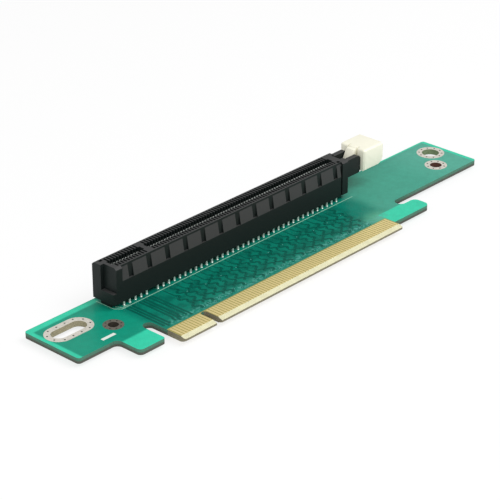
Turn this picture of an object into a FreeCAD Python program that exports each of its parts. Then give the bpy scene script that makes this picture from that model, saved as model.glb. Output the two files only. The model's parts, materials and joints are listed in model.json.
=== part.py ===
import FreeCAD, Part
import math
import os
from FreeCAD import Vector

# Low-profile riser card: a rigid circuit board that lies flat, with edge fingers along its front and
# one upright 82-position, two-row card socket along its back edge. Millimetres. +X runs along the
# socket towards its latch, +Y towards the socket, +Z up from the board. The origin is the middle of the
# outline at the height of the solder joints' tips, on which the card lies.

# ---------------------------------------------------------------- board
BOARD_LENGTH = 157.2
BOARD_THICKNESS = 1.6
ARM_DEPTH = 19.65            # back edge to the front edges of both arms
EDGE_TIP_DEPTH = 31.25       # back edge to the tip of the edge connector
LEFT_TAB_DEPTH = 27.7        # back edge to the front of the left tab
HOOK_DEPTH = 28.35           # back edge to the front of the hook tab
LEFT_TAB_START = 12.9        # from the board's left end
LEFT_TAB_WIDTH = 8.6
TAB_GAP_DEPTH = 18.75        # back edge to the round end of the gap beside the left tab
HOOK_END = 124.6             # from the board's left end
HOOK_SLOT_START = 118.8      # left end of the slot behind the hook tab
HOOK_SLOT_WIDTH = 3.25
BOARD_CORNER = 0.9
LEFT_TAB_CORNER = 1.3
INNER_CORNER = 1.6
HOOK_CORNER = 1.7
TIP_CORNER = 0.7
BEVEL_LENGTH = 1.4
BEVEL_HEIGHT = 0.5

# ---------------------------------------------------------------- contact grid, shared by socket and edge
POSITIONS = 82
SHORT_POSITIONS = 11
PITCH = 1.0
KEY_JUMP = 2.0               # extra distance across the key
FIRST_POSITION = 25.4        # from the board's left end
SOCKET_FROM_BACK = 4.85      # back edge to the socket's centre line

# ---------------------------------------------------------------- edge connector
EDGE_MARGIN = 0.8            # from the outer fingers' centre lines to the ends of the edge
NOTCH_WIDTH = 1.9
NOTCH_DEPTH = 6.1
FINGER_WIDTH = 0.7
FINGER_LENGTH = 4.55
COPPER = 0.05                # thickness of fingers and lands

# ---------------------------------------------------------------- mounting holes
SLOT_X = 8.25                # from the board's left end
SLOT_Y = 7.3                 # from the back edge
SLOT_TRAVEL = 6.3            # between the centres of the slot's round ends
SLOT_RADIUS = 2.2
SLOT_LAND = 3.95
LEFT_HOLE_X = 17.4
LEFT_HOLE_Y = 13.55
LEFT_HOLE_RADIUS = 1.4
LEFT_HOLE_LAND = 2.7
LARGE_HOLE_X = 5.1           # from the board's right end
LARGE_HOLE_Y = 6.93
LARGE_HOLE_RADIUS = 2.5
LARGE_HOLE_LAND = 4.05
SMALL_HOLE_X = 10.85         # from the board's right end
SMALL_HOLE_Y = 13.42
SMALL_HOLE_RADIUS = 1.7
SMALL_HOLE_LAND = 3.25

# ---------------------------------------------------------------- contacts and their joints
TAIL_INNER = 1.25            # centre line to the inner row of tails
TAIL_CLEARANCE = 0.05        # from an outer tail to the housing's skirt
STRIP_WIDTH = 0.5
STRIP_THICKNESS = 0.3
OUTER_TAIL_HEIGHT = 1.5      # above the board, where an outer tail turns in
INNER_TAIL_HEIGHT = 4.6
TIP_OFFSET = 0.85            # centre line to the tip of the sprung beam
TIP_HEIGHT = 10.1
SOLDER_HEIGHT = 1.0
SOLDER_BASE = 1.3

# ---------------------------------------------------------------- socket housing
HOUSING_HEIGHT = 11.35
HOUSING_WIDTH = 7.5
LIP_WIDTH = 6.28             # across the top, between the ramps
STANDOFF = 1.35              # clear height under the housing
RAMP_FOOT = 7.15             # height where the ramps reach full width
RAMP_HEAD = 10.8             # height where the ramps meet the top lip
END_MARGIN = 3.0             # from position 1 to the housing's left end
RIGHT_MARGIN = 4.3           # from position 82 to the housing's right end
RAMP_PITCH = 6.55
RAMP_GAP = 1.65
FIRST_GAP = 2.65             # position 1 to the left side of the first gap between ramps
RAMP_COUNT = 14              # panels along each long side
CARD_SLOT_WIDTH = 1.8
CARD_SLOT_FLOOR = 4.0        # also the foot of the contact cells
KEY_WIDTH = 1.35
SLOT_END_MARGIN = 0.83       # outer positions to the ends of the card slot
CELL_WIDTH = 0.6
CELL_CLEARANCE = 0.03        # from an outer strip to its cell's outer wall
RIB_WIDTH = 2.0              # rib under the card slot
SKIRT = 0.35                 # wall outside the tails
END_POST = 3.3               # length of the full-width post at the left end
END_POST_RIGHT = 2.35
POST_CHAMFER = 0.55
END_RECESS_DEPTH = 1.17
END_RECESS_SIDE = 0.7        # centre line to the recess's side wall
END_RECESS_FLOOR = 4.4
POST_GROOVE = 0.6
POST_GROOVE_DEPTH = 0.5
PIT_LENGTH = 1.0
PIT_WIDTH = 0.9
PIT_DEPTH = 0.8
PIT_OFFSET = 2.5
FOOT_LENGTH = 1.6
FOOT_WIDTH = 1.8
PEG_RADIUS = 1.15            # across the corners of a six-sided peg
PEG_LENGTH = 2.6
PEG_CLEARANCE = 0.03

# ---------------------------------------------------------------- tail and latch
TAIL_LENGTH = 5.8
TAIL_WIDTH = 6.4
TAIL_TOP = 10.75
TAIL_BOTTOM = 5.6
TAIL_CORNER = 1.0
TROUGH_WIDTH = 3.2
TROUGH_INSET = 1.1           # how far the trough runs back into the right post
TROUGH_FLOOR = 7.2
TROUGH_FLOOR_LENGTH = 1.4    # past the housing's right end
PIVOT_INSET = 1.8            # from the tail's end to the pivot
PIVOT_HEIGHT = 1.3           # above the tail's underside
TRUNNION_RADIUS = 0.6
TRUNNION_DEPTH = 1.1         # into each cheek of the tail
PIVOT_CLEARANCE = 0.05
LATCH_GAP = 0.3
LATCH_LENGTH = 8.5
LATCH_WIDTH = 8.9
LATCH_BOTTOM = 5.9
LATCH_TOP = 12.3
LATCH_HEEL = 2.4             # round at the lower outer corner
LATCH_ROUND = 0.7
LATCH_CHAMFER = 0.45
NOSE_CLEARANCE = 0.3
NOSE_SLOT_WIDTH = 0.45
NOSE_SLOT_DEPTH = 1.2
NOSE_REACH = 1.0             # in front of the latch's face, at its top
HUB_RADIUS = 1.2
NOSE_TOP_DROP = 0.4
NOSE_WAIST = 9.0

# ---------------------------------------------------------------- places worked out from the sizes
LEFT = -BOARD_LENGTH / 2
RIGHT = BOARD_LENGTH / 2
BACK = EDGE_TIP_DEPTH / 2
TAIL_OUTER = HOUSING_WIDTH / 2 - SKIRT - TAIL_CLEARANCE - STRIP_THICKNESS / 2
LEAN_AT_CELL_FLOOR = (CARD_SLOT_FLOOR - OUTER_TAIL_HEIGHT) / (TIP_HEIGHT - OUTER_TAIL_HEIGHT)
STRIP_AT_CELL_FLOOR = TAIL_OUTER - (TAIL_OUTER - TIP_OFFSET) * LEAN_AT_CELL_FLOOR
CELL_OUTER = STRIP_AT_CELL_FLOOR + STRIP_THICKNESS / 2 + CELL_CLEARANCE
BOARD_BOTTOM = SOLDER_HEIGHT
BOARD_TOP = BOARD_BOTTOM + BOARD_THICKNESS
ROW_Y = BACK - SOCKET_FROM_BACK
ORIGIN_X = LEFT + FIRST_POSITION
FRONT_SIDE, BACK_SIDE = -1, 1
SHORT = range(1, SHORT_POSITIONS + 1)
LONG = range(SHORT_POSITIONS + 1, POSITIONS + 1)


def position_x(number):
    """Centre line of one contact position."""
    jump = KEY_JUMP if number > SHORT_POSITIONS else 0.0
    return ORIGIN_X + (number - 1) * PITCH + jump


KEY_X = (position_x(SHORT_POSITIONS) + position_x(SHORT_POSITIONS + 1)) / 2
LAST_X = position_x(POSITIONS)
HOUSING_LEFT = ORIGIN_X - END_MARGIN
HOUSING_RIGHT = LAST_X + RIGHT_MARGIN
TAIL_END = HOUSING_RIGHT + TAIL_LENGTH
PIVOT_X = TAIL_END - PIVOT_INSET
PIVOT_Z = BOARD_TOP + TAIL_BOTTOM + PIVOT_HEIGHT


# ---------------------------------------------------------------- helpers
def box(x0, x1, y0, y1, z0, z1):
    """Block between two corners."""
    return Part.makeBox(x1 - x0, y1 - y0, z1 - z0, Vector(x0, y0, z0))


def prism(points, direction):
    """Straight-sided solid from a closed outline."""
    face = Part.Face(Part.makePolygon(points + points[:1]))
    return face.extrude(direction)


def flat(u, v):
    """A point of an outline seen from above."""
    return Vector(u, v, 0)


def side_on(u, v):
    """A point of an outline seen from the front, u along X and v up."""
    return Vector(u, 0, v)


def rounded_outline(corners, view=flat):
    """Closed outline with round corners. Each corner is (u, v, radius)."""
    arcs = []
    count = len(corners)
    for index, (u, v, radius) in enumerate(corners):
        here = view(u, v)
        before = view(*corners[index - 1][:2]) - here
        after = view(*corners[(index + 1) % count][:2]) - here
        before.normalize()
        after.normalize()
        half = before.getAngle(after) / 2
        reach = radius / math.tan(half)
        middle = before + after
        middle.normalize()
        bow = radius / math.sin(half) - radius
        arcs.append((here + before * reach, here + middle * bow, here + after * reach))
    edges = []
    for index, (start, through, end) in enumerate(arcs):
        if corners[index][2]:
            edges.append(Part.Arc(start, through, end).toShape())
        following = arcs[(index + 1) % count][0]
        if end.distanceToPoint(following) > 1e-6:
            edges.append(Part.makeLine(end, following))
    return Part.Wire(edges)


def upright(outline, z0, height):
    """Solid between z0 and z0 + height with an XY outline."""
    face = Part.Face(outline)
    face.translate(Vector(0, 0, z0))
    return face.extrude(Vector(0, 0, height))


def slot_outline(x, y, travel, radius, view=flat):
    """Outline with two round ends, which meet in a circle where travel is zero."""
    edges = []
    for way in (-1, 1):
        end = x + way * travel / 2
        start = view(end, y - way * radius)
        stop = view(end, y + way * radius)
        edges.append(Part.Arc(start, view(end + way * radius, y), stop).toShape())
        if travel:
            edges.append(Part.makeLine(stop, view(x - way * travel / 2, y + way * radius)))
    return Part.Wire(edges)


def hexagon(x, y, radius):
    """Six corners of a peg's section."""
    turns = [math.radians(60 * step) for step in range(6)]
    return [Vector(x + radius * math.cos(turn), y + radius * math.sin(turn), 0) for turn in turns]


# ---------------------------------------------------------------- board
HOLES = {
    "left_slot": (LEFT + SLOT_X, BACK - SLOT_Y, SLOT_TRAVEL, SLOT_RADIUS, SLOT_LAND),
    "left_hole": (LEFT + LEFT_HOLE_X, BACK - LEFT_HOLE_Y, 0, LEFT_HOLE_RADIUS, LEFT_HOLE_LAND),
    "right_large_hole": (RIGHT - LARGE_HOLE_X, BACK - LARGE_HOLE_Y, 0, LARGE_HOLE_RADIUS, LARGE_HOLE_LAND),
    "right_small_hole": (RIGHT - SMALL_HOLE_X, BACK - SMALL_HOLE_Y, 0, SMALL_HOLE_RADIUS, SMALL_HOLE_LAND),
}
PEG_PLACES = [KEY_X, HOUSING_RIGHT - END_POST_RIGHT / 2]


def tail_rows():
    """Every tail's side, row name, offset from the socket's centre line and positions."""
    rows = []
    for side_name, side in (("front", FRONT_SIDE), ("back", BACK_SIDE)):
        rows.append((side_name, "outer", side * TAIL_OUTER, 0))
        rows.append((side_name, "inner", side * TAIL_INNER, 1))
    return rows


def in_row(numbers, remainder):
    """Even positions stand in the outer rows and odd ones in the inner rows."""
    return [number for number in numbers if number % 2 == remainder]


def board_outline():
    """Outline of the board, from the back left corner round by the front."""
    arm_y = BACK - ARM_DEPTH
    tab_left = LEFT + LEFT_TAB_START
    tab_right = tab_left + LEFT_TAB_WIDTH
    tab_y = BACK - LEFT_TAB_DEPTH
    edge_left = ORIGIN_X - EDGE_MARGIN
    edge_right = LAST_X + EDGE_MARGIN
    gap_y = BACK - TAB_GAP_DEPTH
    gap_round = (edge_left - tab_right) / 2
    tip_y = BACK - EDGE_TIP_DEPTH
    notch_y = tip_y + NOTCH_DEPTH
    notch_round = NOTCH_WIDTH / 2
    hook_y = BACK - HOOK_DEPTH
    hook_right = LEFT + HOOK_END
    hook_back = arm_y - HOOK_SLOT_WIDTH
    slot_left = LEFT + HOOK_SLOT_START
    slot_round = HOOK_SLOT_WIDTH / 2
    return rounded_outline([
        (LEFT, BACK, BOARD_CORNER),
        (LEFT, arm_y, BOARD_CORNER),
        (tab_left, arm_y, INNER_CORNER),
        (tab_left, tab_y, LEFT_TAB_CORNER),
        (tab_right, tab_y, TIP_CORNER),
        (tab_right, gap_y, gap_round),
        (edge_left, gap_y, gap_round),
        (edge_left, tip_y, TIP_CORNER),
        (KEY_X - notch_round, tip_y, 0),
        (KEY_X - notch_round, notch_y, notch_round),
        (KEY_X + notch_round, notch_y, notch_round),
        (KEY_X + notch_round, tip_y, 0),
        (edge_right, tip_y, TIP_CORNER / 2),
        (edge_right, hook_y, 0),
        (hook_right, hook_y, HOOK_CORNER),
        (hook_right, hook_back, HOOK_CORNER),
        (slot_left, hook_back, slot_round),
        (slot_left, arm_y, slot_round),
        (RIGHT, arm_y, BOARD_CORNER),
        (RIGHT, BACK, BOARD_CORNER),
    ])


def bevel(surface_z, into_board):
    """Wedge cut from one face along the tip of the edge connector."""
    tip_y = BACK - EDGE_TIP_DEPTH
    x0 = ORIGIN_X - 2 * EDGE_MARGIN
    length = LAST_X + 2 * EDGE_MARGIN - x0
    outline = [
        Vector(x0, tip_y + BEVEL_LENGTH, surface_z),
        Vector(x0, tip_y, surface_z + into_board * BEVEL_HEIGHT),
        Vector(x0, tip_y, surface_z),
    ]
    return prism(outline, Vector(length, 0, 0))


def make_board():
    """The laminate with its outline, bevelled edge, mounting holes and peg holes."""
    board = upright(board_outline(), BOARD_BOTTOM, BOARD_THICKNESS)
    cuts = [bevel(BOARD_TOP, -1), bevel(BOARD_BOTTOM, 1)]
    for x, y, travel, radius, _ in HOLES.values():
        if travel:
            cuts.append(upright(slot_outline(x, y, travel, radius), BOARD_BOTTOM, BOARD_THICKNESS))
        else:
            cuts.append(Part.makeCylinder(radius, BOARD_THICKNESS, Vector(x, y, BOARD_BOTTOM)))
    for x in PEG_PLACES:
        peg_hole = slot_outline(x, ROW_Y, 0, PEG_RADIUS + PEG_CLEARANCE)
        cuts.append(upright(peg_hole, BOARD_BOTTOM, BOARD_THICKNESS))
    return board.cut(Part.makeCompound(cuts))


def make_fingers(numbers, z0):
    """Flat copper fingers of one face of the edge connector."""
    front = BACK - EDGE_TIP_DEPTH + BEVEL_LENGTH
    half = FINGER_WIDTH / 2
    fingers = []
    for number in numbers:
        x = position_x(number)
        fingers.append(box(x - half, x + half, front, front + FINGER_LENGTH, z0, z0 + COPPER))
    return Part.makeCompound(fingers)


def make_lands():
    """Plated ring round every mounting hole, on the board's upper face."""
    rings = []
    for x, y, travel, radius, land in HOLES.values():
        ring = upright(slot_outline(x, y, travel, land), BOARD_TOP, COPPER)
        rings.append(ring.cut(upright(slot_outline(x, y, travel, radius), BOARD_TOP, COPPER)))
    return Part.makeCompound(rings)


# ---------------------------------------------------------------- contacts
def strip_section(offset, bend):
    """Side view of a formed strip, tail, bend and sprung beam, as (y, z) corners."""
    half = STRIP_THICKNESS / 2
    side = math.copysign(1, offset)
    line = [(offset, BOARD_TOP), (offset, BOARD_TOP + bend), (side * TIP_OFFSET, BOARD_TOP + TIP_HEIGHT)]
    one_face = [(ROW_Y + y - half, z) for y, z in line]
    other_face = [(ROW_Y + y + half, z) for y, z in reversed(line)]
    return one_face + other_face


def make_contacts(numbers, offset):
    """Formed strips of one tail row, their feet on the board where the tails enter it."""
    bend = OUTER_TAIL_HEIGHT if abs(offset) == TAIL_OUTER else INNER_TAIL_HEIGHT
    section = strip_section(offset, bend)
    strips = []
    for number in numbers:
        x0 = position_x(number) - STRIP_WIDTH / 2
        strips.append(prism([Vector(x0, y, z) for y, z in section], Vector(STRIP_WIDTH, 0, 0)))
    return Part.makeCompound(strips)


def solder_joint(x, y):
    """One joint, tapered on four sides to its tip."""
    half = SOLDER_BASE / 2
    from_front = [Vector(x - half, y - half, BOARD_BOTTOM), Vector(x + half, y - half, BOARD_BOTTOM),
                  Vector(x, y - half, 0)]
    from_side = [Vector(x - half, y - half, BOARD_BOTTOM), Vector(x - half, y + half, BOARD_BOTTOM),
                 Vector(x - half, y, 0)]
    return prism(from_front, Vector(0, 2 * half, 0)).common(prism(from_side, Vector(2 * half, 0, 0)))


def make_solder(offset, remainder):
    """Solder joints of one tail row, under the board."""
    numbers = in_row(range(1, POSITIONS + 1), remainder)
    return Part.makeCompound([solder_joint(position_x(number), ROW_Y + offset) for number in numbers])


# ---------------------------------------------------------------- socket housing
def along_x(profile, x0, x1):
    """Solid with one (y, height above the board) profile between two stations."""
    points = [Vector(x0, ROW_Y + y, BOARD_TOP + height) for y, height in profile]
    return prism(points, Vector(x1 - x0, 0, 0))


def mirrored(half_profile):
    """Full profile from its right half, listed from bottom to top."""
    return half_profile + [(-y, height) for y, height in reversed(half_profile)]


def housing_body():
    """Ramped wall section, with the full-width posts at both ends."""
    wide = HOUSING_WIDTH / 2
    lip = LIP_WIDTH / 2
    ramped = mirrored([(wide, STANDOFF), (wide, RAMP_FOOT), (lip, RAMP_HEAD), (lip, HOUSING_HEIGHT)])
    post = mirrored([(wide, STANDOFF), (wide, HOUSING_HEIGHT - POST_CHAMFER), (lip, HOUSING_HEIGHT)])
    left_post = along_x(post, HOUSING_LEFT, HOUSING_LEFT + END_POST)
    right_post = along_x(post, HOUSING_RIGHT - END_POST_RIGHT, HOUSING_RIGHT)
    return along_x(ramped, HOUSING_LEFT, HOUSING_RIGHT).fuse([left_post, right_post])


def ramp_gaps():
    """Grooves between the ramps, on both long sides."""
    lip = LIP_WIDTH / 2
    cuts = []
    for index in range(RAMP_COUNT - 1):
        x0 = ORIGIN_X + FIRST_GAP + index * RAMP_PITCH
        for y0, y1 in ((-HOUSING_WIDTH, -lip), (lip, HOUSING_WIDTH)):
            cuts.append(box(x0, x0 + RAMP_GAP, ROW_Y + y0, ROW_Y + y1,
                            BOARD_TOP + RAMP_FOOT, BOARD_TOP + RAMP_HEAD))
    return cuts


def card_slot():
    """The slot's two lengths, either side of the key wall."""
    half = CARD_SLOT_WIDTH / 2
    floor = BOARD_TOP + CARD_SLOT_FLOOR
    top = BOARD_TOP + HOUSING_HEIGHT
    short_end = ORIGIN_X - SLOT_END_MARGIN
    long_end = LAST_X + SLOT_END_MARGIN
    short_slot = box(short_end, KEY_X - KEY_WIDTH / 2, ROW_Y - half, ROW_Y + half, floor, top)
    long_slot = box(KEY_X + KEY_WIDTH / 2, long_end, ROW_Y - half, ROW_Y + half, floor, top)
    return [short_slot, long_slot]


def contact_cells():
    """One upright cell for each contact, open to the card slot and at the top."""
    inner = CARD_SLOT_WIDTH / 2
    half = CELL_WIDTH / 2
    cells = []
    for number in range(1, POSITIONS + 1):
        x = position_x(number)
        for y0, y1 in ((-CELL_OUTER, -inner), (inner, CELL_OUTER)):
            cells.append(box(x - half, x + half, ROW_Y + y0, ROW_Y + y1,
                             BOARD_TOP + CARD_SLOT_FLOOR, BOARD_TOP + HOUSING_HEIGHT))
    return cells


def tail_grooves():
    """Open grooves under the housing, where the tails come down either side of the rib."""
    inner = RIB_WIDTH / 2
    outer = HOUSING_WIDTH / 2 - SKIRT
    margin = PITCH / 2
    grooves = []
    for numbers in (SHORT, LONG):
        x0 = position_x(numbers[0]) - margin
        x1 = position_x(numbers[-1]) + margin
        for y0, y1 in ((-outer, -inner), (inner, outer)):
            grooves.append(box(x0, x1, ROW_Y + y0, ROW_Y + y1, BOARD_TOP + STANDOFF, BOARD_TOP + CARD_SLOT_FLOOR))
    return grooves


def end_details():
    """Recess in the left end, groove beside the right post and the two small pits in the top."""
    wide = HOUSING_WIDTH
    top = BOARD_TOP + HOUSING_HEIGHT
    recess = box(HOUSING_LEFT, HOUSING_LEFT + END_RECESS_DEPTH, ROW_Y - wide, ROW_Y + END_RECESS_SIDE,
                 BOARD_TOP + END_RECESS_FLOOR, top)
    groove_x = HOUSING_RIGHT - END_POST_RIGHT - POST_GROOVE
    groove_y = HOUSING_WIDTH / 2 - POST_GROOVE_DEPTH
    cuts = [recess]
    for y0, y1 in ((-wide, -groove_y), (groove_y, wide)):
        cuts.append(box(groove_x, groove_x + POST_GROOVE, ROW_Y + y0, ROW_Y + y1, BOARD_TOP, top))
    left_pit_x = HOUSING_LEFT + END_RECESS_DEPTH
    right_pit_x = LAST_X + SLOT_END_MARGIN
    for x0, y in ((left_pit_x, ROW_Y + PIT_OFFSET), (right_pit_x, ROW_Y - PIT_OFFSET)):
        cuts.append(box(x0, x0 + PIT_LENGTH, y - PIT_WIDTH / 2, y + PIT_WIDTH / 2, top - PIT_DEPTH, top))
    return cuts


def housing_feet():
    """Standoff feet on the board, and the six-sided press pegs that locate the socket."""
    feet = []
    left_foot_x = HOUSING_LEFT + END_POST / 2
    for x in [left_foot_x] + PEG_PLACES:
        feet.append(box(x - FOOT_LENGTH / 2, x + FOOT_LENGTH / 2, ROW_Y - FOOT_WIDTH, ROW_Y + FOOT_WIDTH,
                        BOARD_TOP, BOARD_TOP + STANDOFF))
    for x in PEG_PLACES:
        peg = prism(hexagon(x, ROW_Y, PEG_RADIUS), Vector(0, 0, PEG_LENGTH))
        peg.translate(Vector(0, 0, BOARD_TOP + STANDOFF - PEG_LENGTH))
        feet.append(peg)
    return feet


def housing_tail():
    """The raised fork that carries the latch."""
    half = TAIL_WIDTH / 2
    bottom = BOARD_TOP + TAIL_BOTTOM
    tail = box(HOUSING_RIGHT - END_POST_RIGHT, TAIL_END, ROW_Y - half, ROW_Y + half,
               bottom, BOARD_TOP + TAIL_TOP)
    outer_corners = [edge for edge in tail.Edges
                     if abs(edge.CenterOfMass.x - TAIL_END) < 1e-6 and abs(edge.CenterOfMass.y - ROW_Y) < 1e-6]
    return tail.makeFillet(TAIL_CORNER, outer_corners)


def trough():
    """Open space between the cheeks of the tail, with a short floor beside the post."""
    half = TROUGH_WIDTH / 2
    x0 = HOUSING_RIGHT - TROUGH_INSET
    floor_end = HOUSING_RIGHT + TROUGH_FLOOR_LENGTH
    top = BOARD_TOP + HOUSING_HEIGHT
    bottom = BOARD_TOP + TAIL_BOTTOM
    upper = box(x0, TAIL_END, ROW_Y - half, ROW_Y + half, BOARD_TOP + TROUGH_FLOOR, top)
    lower = box(floor_end, TAIL_END, ROW_Y - half, ROW_Y + half, bottom, top)
    return [upper, lower]


def pivot_cylinder(radius, half_length):
    """Cylinder on the latch's axis, centred on the trough."""
    circle = slot_outline(PIVOT_X, PIVOT_Z, 0, radius, side_on)
    circle.translate(Vector(0, ROW_Y - half_length, 0))
    return Part.Face(circle).extrude(Vector(0, 2 * half_length, 0))


def make_housing():
    """The moulded socket housing."""
    body = housing_body().fuse([housing_tail()])
    reach = TROUGH_WIDTH / 2 + TRUNNION_DEPTH + PIVOT_CLEARANCE
    trunnion_sockets = pivot_cylinder(TRUNNION_RADIUS + PIVOT_CLEARANCE, reach)
    cuts = ramp_gaps() + card_slot() + contact_cells() + tail_grooves() + end_details() + trough()
    body = body.cut(Part.makeCompound(cuts)).cut(trunnion_sockets)
    return body.fuse(housing_feet()).removeSplitter()


# ---------------------------------------------------------------- latch
def latch_block():
    """Thumb block of the latch, with a round heel and chamfered sides."""
    x0 = TAIL_END + LATCH_GAP
    x1 = x0 + LATCH_LENGTH
    z0 = BOARD_TOP + LATCH_BOTTOM
    z1 = BOARD_TOP + LATCH_TOP
    half = LATCH_WIDTH / 2
    outline = rounded_outline([
        (x0, z0, 0),
        (x1, z0, LATCH_HEEL),
        (x1, z1, LATCH_ROUND),
        (x0, z1, LATCH_ROUND),
    ], side_on)
    face = Part.Face(outline)
    face.translate(Vector(0, ROW_Y - half, 0))
    block = face.extrude(Vector(0, 2 * half, 0))
    rims = [edge for edge in block.Edges if abs(abs(edge.CenterOfMass.y - ROW_Y) - half) < 1e-6]
    return block.makeChamfer(LATCH_CHAMFER, rims)


def latch_nose():
    """Tongue that stands in the trough and ends in the hub."""
    half = TROUGH_WIDTH / 2 - NOSE_CLEARANCE
    face_x = TAIL_END + LATCH_GAP
    root_x = face_x + NOSE_SLOT_DEPTH
    head = BOARD_TOP + LATCH_TOP - NOSE_TOP_DROP
    profile = [(root_x, head), (face_x - NOSE_REACH, head), (PIVOT_X - HUB_RADIUS / 2, BOARD_TOP + NOSE_WAIST),
               (PIVOT_X - HUB_RADIUS, PIVOT_Z), (PIVOT_X, PIVOT_Z - HUB_RADIUS + PIVOT_CLEARANCE),
               (root_x, BOARD_TOP + LATCH_BOTTOM)]
    tongue = prism([Vector(x, ROW_Y - half, z) for x, z in profile], Vector(0, 2 * half, 0))
    return tongue.fuse(pivot_cylinder(HUB_RADIUS, half))


def make_latch():
    """Card latch with its nose, hub and trunnions, moulded as one piece."""
    x0 = TAIL_END + LATCH_GAP
    nose_half = TROUGH_WIDTH / 2 - NOSE_CLEARANCE
    slots = []
    for y0, y1 in ((-nose_half - NOSE_SLOT_WIDTH, -nose_half), (nose_half, nose_half + NOSE_SLOT_WIDTH)):
        slots.append(box(x0, x0 + NOSE_SLOT_DEPTH, ROW_Y + y0, ROW_Y + y1,
                         BOARD_TOP + LATCH_BOTTOM, BOARD_TOP + LATCH_TOP))
    block = latch_block().cut(Part.makeCompound(slots))
    trunnions = pivot_cylinder(TRUNNION_RADIUS, TROUGH_WIDTH / 2 + TRUNNION_DEPTH)
    return block.fuse([latch_nose(), trunnions])


# ---------------------------------------------------------------- write every piece
def save(shape, node):
    """One STEP file for one node."""
    shape.exportStep("parts/" + node + ".step")


def main():
    os.makedirs("parts", exist_ok=True)
    save(make_board(), "circuit_board")
    save(make_housing(), "socket_housing")
    save(make_latch(), "card_latch")
    for side_name, row_name, offset, remainder in tail_rows():
        for length_name, numbers in (("short", SHORT), ("long", LONG)):
            node = "contacts_" + side_name + "_" + row_name + "_" + length_name
            save(make_contacts(in_row(numbers, remainder), offset), node)
        save(make_solder(offset, remainder), "solder_" + side_name + "_" + row_name)
    for length_name, numbers in (("short", SHORT), ("long", LONG)):
        save(make_fingers(numbers, BOARD_TOP), "fingers_top_" + length_name)
        save(make_fingers(numbers, BOARD_BOTTOM - COPPER), "fingers_bottom_" + length_name)
    save(make_lands(), "mounting_lands")


main()
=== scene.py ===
import json
import math

import bmesh
import bpy
from bpy.props import FloatProperty, FloatVectorProperty, PointerProperty
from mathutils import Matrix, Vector


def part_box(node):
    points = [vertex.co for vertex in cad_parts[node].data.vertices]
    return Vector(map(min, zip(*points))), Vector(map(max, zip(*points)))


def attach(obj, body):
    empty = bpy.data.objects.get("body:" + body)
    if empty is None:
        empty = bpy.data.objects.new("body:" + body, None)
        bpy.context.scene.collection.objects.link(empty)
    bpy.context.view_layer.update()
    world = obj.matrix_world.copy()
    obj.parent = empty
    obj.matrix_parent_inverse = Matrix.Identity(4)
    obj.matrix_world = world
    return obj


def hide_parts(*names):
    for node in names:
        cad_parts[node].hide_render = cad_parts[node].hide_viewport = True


bl_info = {
    "name": "Riser Card Finishes",
    "version": (1, 0, 0),
    "blender": (4, 5, 0),
    "location": "3D View > Sidebar > Riser",
    "description": "Paints and dresses a packed riser card and sets a plain stage",
    "category": "Object",
}

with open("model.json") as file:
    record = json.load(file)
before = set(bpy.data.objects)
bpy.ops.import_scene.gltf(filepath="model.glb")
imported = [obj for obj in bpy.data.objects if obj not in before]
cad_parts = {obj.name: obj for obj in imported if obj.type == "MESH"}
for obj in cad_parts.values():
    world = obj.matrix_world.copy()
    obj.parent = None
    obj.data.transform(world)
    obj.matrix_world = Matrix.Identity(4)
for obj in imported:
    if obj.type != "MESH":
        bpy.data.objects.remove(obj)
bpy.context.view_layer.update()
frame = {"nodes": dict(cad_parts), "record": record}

MM = 0.001
SHARP_ANGLE = math.radians(40)
BODY = "riser"
WHITE = (1.0, 1.0, 1.0, 1.0)
VECTOR, FLOAT, SHAPE = "NodeSocketVector", "NodeSocketFloat", "NodeSocketGeometry"
VECTOR_MATH = "ShaderNodeVectorMath"
BOARD_LOW, BOARD_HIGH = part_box("circuit_board")
HOUSING_LOW, HOUSING_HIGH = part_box("socket_housing")
FINGERS_LOW, FINGERS_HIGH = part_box("fingers_top_long")
SHORT_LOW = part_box("fingers_top_short")[0]
LANDS_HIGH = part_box("mounting_lands")[1]

# The contact grid, read from the outer edges of the fingers.
PITCH = 1.0 * MM
SHORT_COUNT = 11
STRAIGHT_COUNT = 10
COUNT = 82
HALF_FINGER = 0.35 * MM
FIRST_X = SHORT_LOW.x + HALF_FINGER
LONG_X = FINGERS_LOW.x + HALF_FINGER
LAST_X = FINGERS_HIGH.x - HALF_FINGER
ROW_Y = (HOUSING_LOW.y + HOUSING_HIGH.y) / 2
TOP = BOARD_HIGH.z
FINGER_BACK = FINGERS_HIGH.y

# Painted fields are in millimetres: the board, its finger tab, and just below and above it.
LEFT, RIGHT = BOARD_LOW.x / MM, BOARD_HIGH.x / MM
FRONT, BACK = BOARD_LOW.y / MM, BOARD_HIGH.y / MM
TAB_LEFT, TAB_RIGHT = (FIRST_X - PITCH) / MM, (LAST_X + PITCH) / MM
TAB_BACK, BEVEL_BACK = FINGER_BACK / MM, FINGERS_LOW.y / MM
BELOW, ABOVE = BOARD_LOW.z / MM - 1.0, BOARD_HIGH.z / MM + 1.0

# Sockets with a name that is not unique: a vector map range's spans, a mix's sides and result.
VECTOR_SPANS = (7, 8, 9, 10)
MIX_SOCKETS = {"RGBA": (6, 7, 2), "FLOAT": (2, 3, 0)}

# Spans of the grain's height that blotches and roughness follow, and the grain's relief.
BLOTCH_SPAN = (0.42, 0.62)
GRAIN_SPAN = (0.3, 0.7)
GRAIN_DEPTH = 0.02 * MM
FINE_BUMP = 0.12
ROUGHNESS_SPREAD = 0.06
MASK_GRAIN, MASK_CONTRAST = 1.6 * MM, 0.30
LAND_GRAIN, LAND_CONTRAST = 0.5 * MM, 0.60
LAND_METALLIC, LAND_ROUGHNESS = 0.25, 0.45
BEND_STEPS = 3


def position_x(number):
    """Centre line of one contact position."""
    if number <= SHORT_COUNT:
        return FIRST_X + (number - 1) * PITCH
    return LONG_X + (number - SHORT_COUNT - 1) * PITCH


def hole_place(name):
    """Centre of one of the board's stated holes, as x and y."""
    places = {mount["name"]: mount["pos_m"] for mount in frame["record"]["mounts"]}
    return places[name][:2]


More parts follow.
